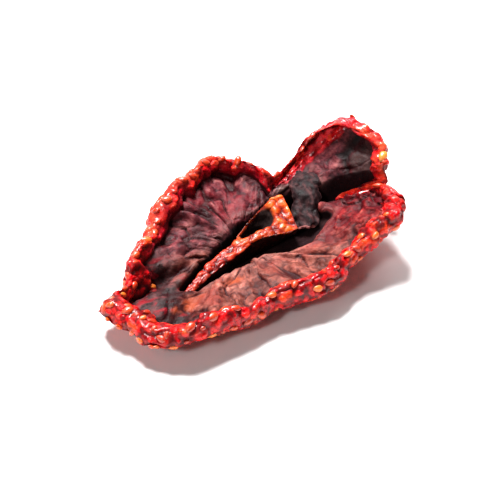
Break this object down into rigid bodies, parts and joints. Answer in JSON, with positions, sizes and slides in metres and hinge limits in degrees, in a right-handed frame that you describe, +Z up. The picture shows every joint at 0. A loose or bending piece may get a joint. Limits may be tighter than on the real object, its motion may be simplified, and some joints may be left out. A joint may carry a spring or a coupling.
{
  "type": "dried strawberry",
  "caption": "Lengthwise slice of dried strawberry, cut face up: shrunken flesh in a raised, seeded skin rim, with a pale core ridge and a curled crown shoulder. Food prop.",
  "frame": {"origin": "under the middle of the slice's box, on the surface that it rests on", "axes": "+X from the tip to the crown end, +Z up, out of the cut face"},
  "size_m": [0.0394, 0.026, 0.011],
  "materials": {
    "dried_skin": "wrinkled, with a low gloss"
  },
  "bodies": {
    "root": {"dried_strawberry": "dried_skin"}
  },
  "joints": []
}
